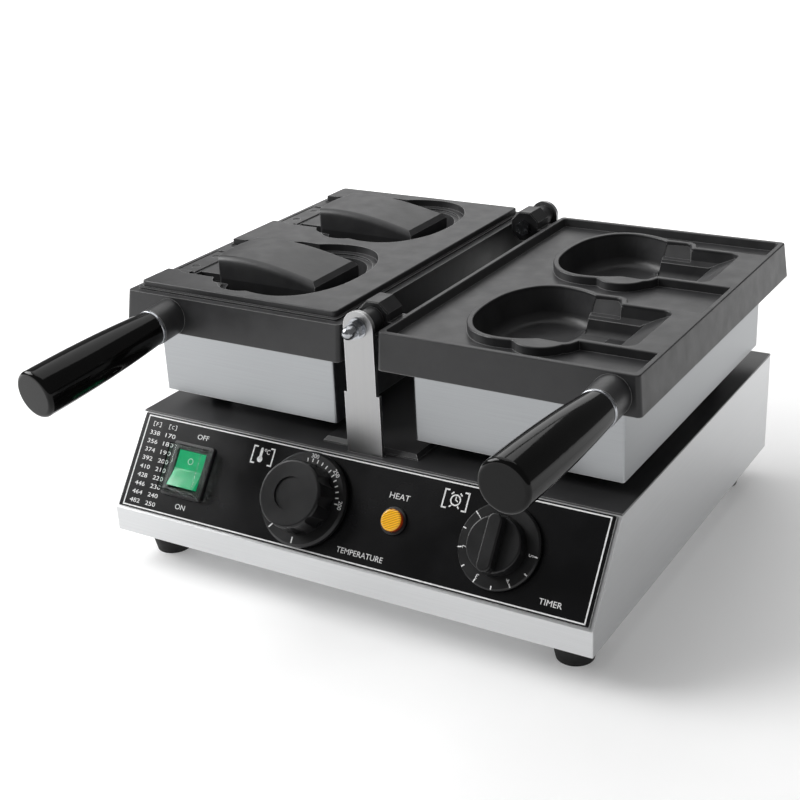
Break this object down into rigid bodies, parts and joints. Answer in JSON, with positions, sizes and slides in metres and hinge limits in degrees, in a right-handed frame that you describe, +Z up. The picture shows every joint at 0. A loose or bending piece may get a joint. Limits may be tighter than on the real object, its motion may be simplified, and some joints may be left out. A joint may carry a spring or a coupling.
{
  "type": "twin-plate waffle baker",
  "caption": "Countertop baker for filled waffles: two hinged mould plates in heater boxes that fold onto each other over a low base with a sloped control panel.",
  "frame": {"origin": "on the table under the middle of the whole machine, from the handle ends to the rear hinge nut, and on the hinge line across it", "axes": "+X to the right as seen from the controls, +Y from the controls to the back, +Z up"},
  "size_m": [0.3782, 0.4118, 0.1985],
  "materials": {
    "stainless_steel": "fine brushed stainless sheet",
    "black_deck": "satin black coated steel",
    "printed_panel": "gloss black panel with white print",
    "strap_steel": "brushed stainless bar",
    "zinc_steel": "bright plated steel",
    "black_steel": "blackened steel",
    "non_stick_cast": "charcoal non-stick coated casting",
    "black_rubber": "matte moulded rubber",
    "bakelite": "gloss black bakelite",
    "black_plastic": "moulded black plastic",
    "knob_plastic": "satin to gloss black plastic",
    "green_lens": "translucent green plastic",
    "clear_cover": "clear soft plastic",
    "amber_lens": "translucent amber plastic",
    "element_steel": "heat-stained tube",
    "thermostat_shell": "pressed steel case"
  },
  "bodies": {
    "base": {"base_shell": "stainless_steel", "bottom_plate": "stainless_steel", "bottom_plate_screws": "zinc_steel", "deck_plate": "black_deck", "centre_channel": "black_deck", "control_panel": "printed_panel", "rubber_feet": "black_rubber", "foot_screws": "zinc_steel", "front_hinge_strap": "strap_steel", "rear_hinge_strap": "strap_steel", "strap_screws": "zinc_steel", "hinge_bolts": "zinc_steel", "hinge_nuts": "zinc_steel", "acorn_nuts": "zinc_steel", "hinge_washers": "zinc_steel", "rest_bumpers": "black_rubber", "switch_housing": "black_plastic", "switch_cover": "clear_cover", "thermostat_body": "thermostat_shell", "timer_body": "thermostat_shell", "pilot_lamp_body": "black_plastic", "pilot_lamp_lens": "amber_lens", "cable_gland": "black_plastic", "terminal_block": "black_plastic"},
    "left_plate": {"left_mould_plate": "non_stick_cast", "left_filling_cores": "non_stick_cast", "left_core_screws": "black_steel", "left_hinge_lugs": "black_steel", "left_heater_box": "stainless_steel", "left_box_screws": "zinc_steel", "left_heating_element": "element_steel", "left_element_clamp": "black_steel", "left_handle_stud": "zinc_steel", "left_handle_ferrule": "zinc_steel", "left_handle_grip": "bakelite"},
    "right_plate": {"right_mould_plate": "non_stick_cast", "right_hinge_lugs": "black_steel", "right_heater_box": "stainless_steel", "right_box_screws": "zinc_steel", "right_heating_element": "element_steel", "right_element_clamp": "black_steel", "right_handle_stud": "zinc_steel", "right_handle_ferrule": "zinc_steel", "right_handle_grip": "bakelite"},
    "temperature_dial": {"temperature_knob": "knob_plastic", "thermostat_shaft": "zinc_steel"},
    "timer_dial": {"timer_knob": "knob_plastic", "timer_shaft": "zinc_steel"},
    "rocker": {"switch_rocker": "green_lens"}
  },
  "joints": [
    {"name": "left_plate_hinge", "type": "hinge", "parent": "base", "child": "left_plate", "pos_m": [0, 0, 0.18345], "axis": [0, 1, 0], "range_deg": [0, 180]},
    {"name": "right_plate_hinge", "type": "hinge", "parent": "base", "child": "right_plate", "pos_m": [0, 0, 0.18345], "axis": [0, -1, 0], "range_deg": [0, 180]},
    {"name": "temperature_turn", "type": "hinge", "parent": "base", "child": "temperature_dial", "pos_m": [-0.0306, -0.10497, 0.068], "axis": [0, -0.8051, 0.5932], "range_deg": [-270, 0]},
    {"name": "timer_turn", "type": "hinge", "parent": "base", "child": "timer_dial", "pos_m": [0.1108, -0.10497, 0.068], "axis": [0, -0.8051, 0.5932], "range_deg": [-300, 0]},
    {"name": "rocker_tip", "type": "hinge", "parent": "base", "child": "rocker", "pos_m": [-0.1278, -0.10513, 0.06812], "axis": [1, 0, 0], "range_deg": [0, 18]}
  ]
}
